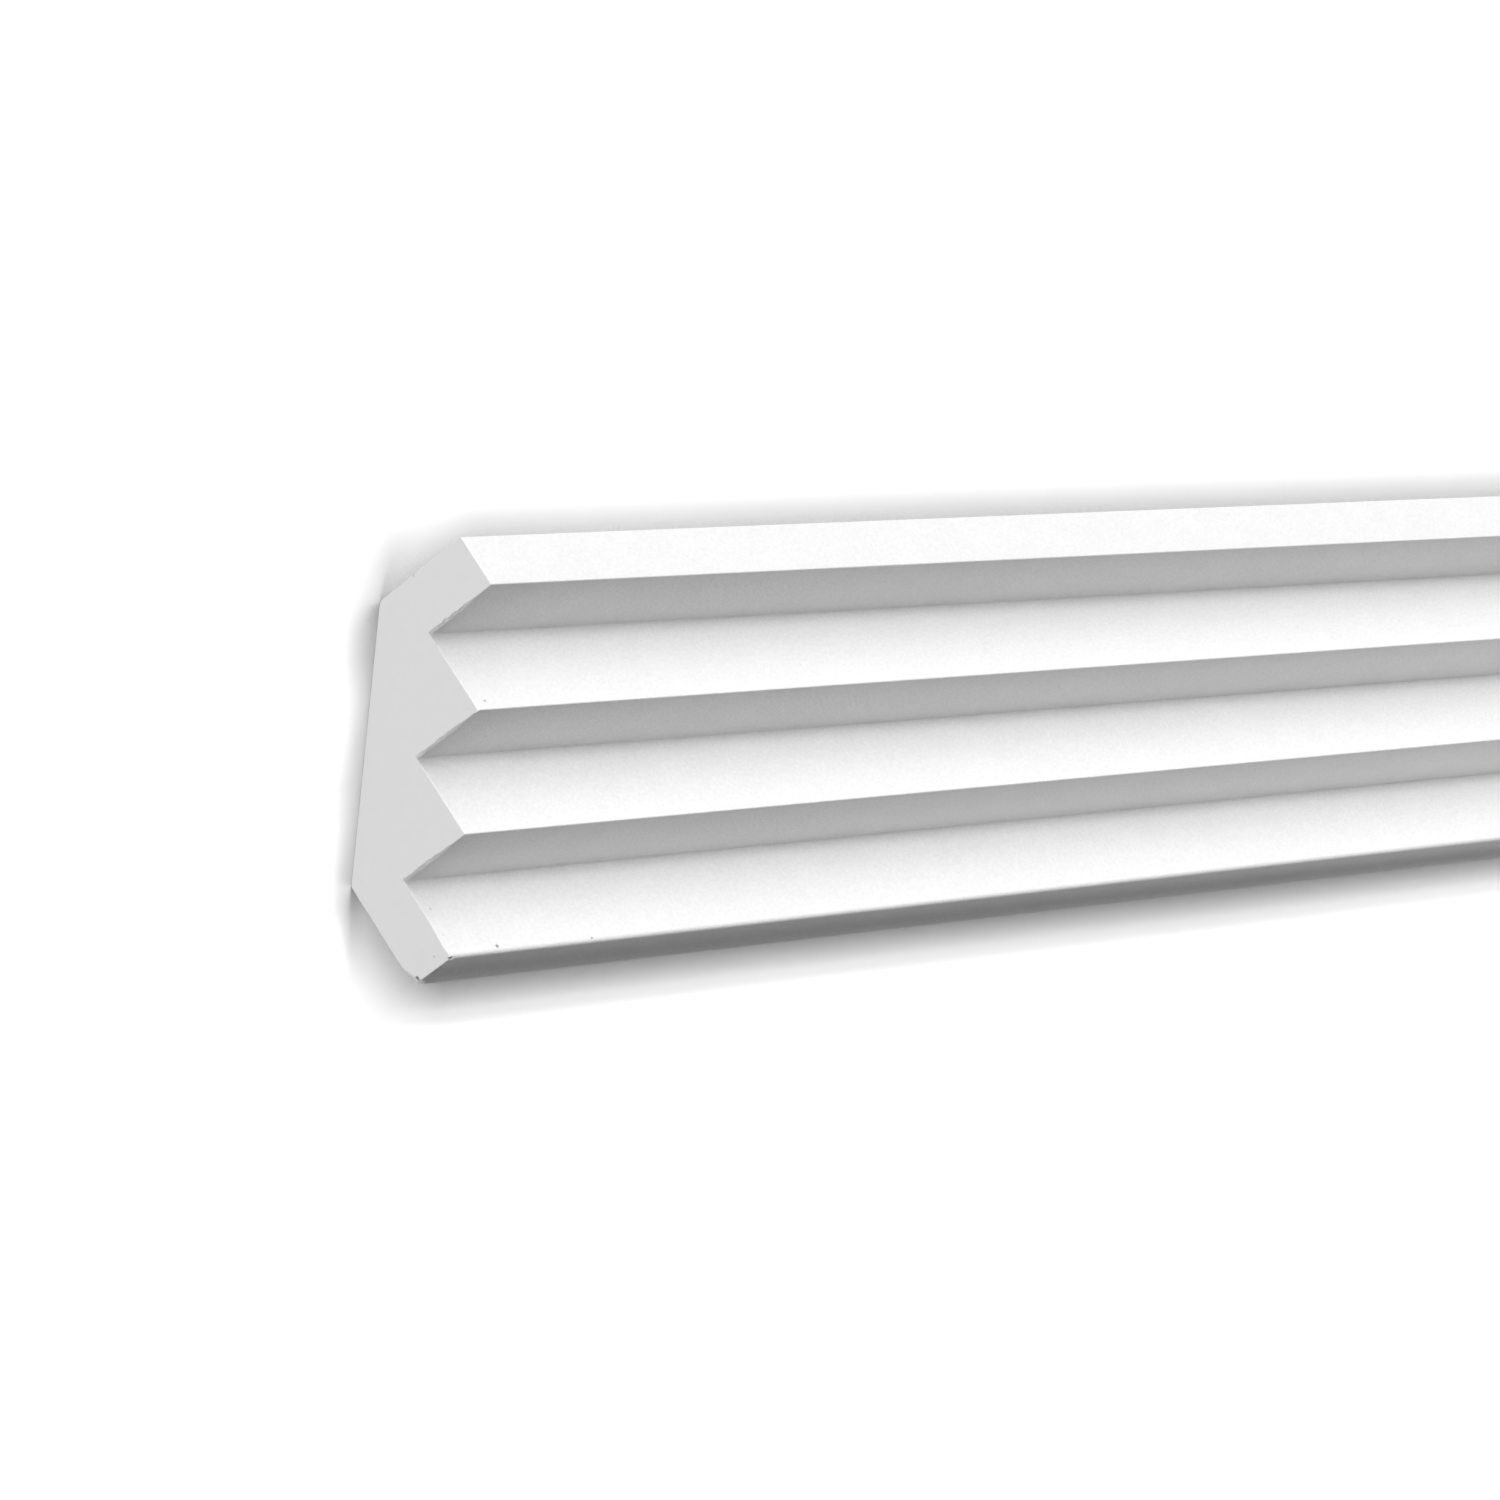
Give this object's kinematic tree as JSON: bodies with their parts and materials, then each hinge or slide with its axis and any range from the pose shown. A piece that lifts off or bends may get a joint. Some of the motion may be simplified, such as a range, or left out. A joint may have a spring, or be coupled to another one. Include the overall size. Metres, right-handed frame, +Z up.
{
  "type": "cornice moulding",
  "caption": "Straight length of stepped cornice moulding in white hard foam, with a sawtooth front, a flat back and two seats for wall and ceiling.",
  "frame": {"origin": "centre of the length and of the width, on the flat back that lies on the floor", "axes": "+X along the length to the square far end, +Y across the width to the ceiling seat's side, +Z up, out of the back towards the stepped front"},
  "size_m": [2, 0.0988, 0.0263],
  "materials": {
    "primed_foam": "matte white factory primer on hard polyurethane foam"
  },
  "bodies": {
    "root": {"cornice_moulding": "primed_foam"}
  },
  "joints": []
}
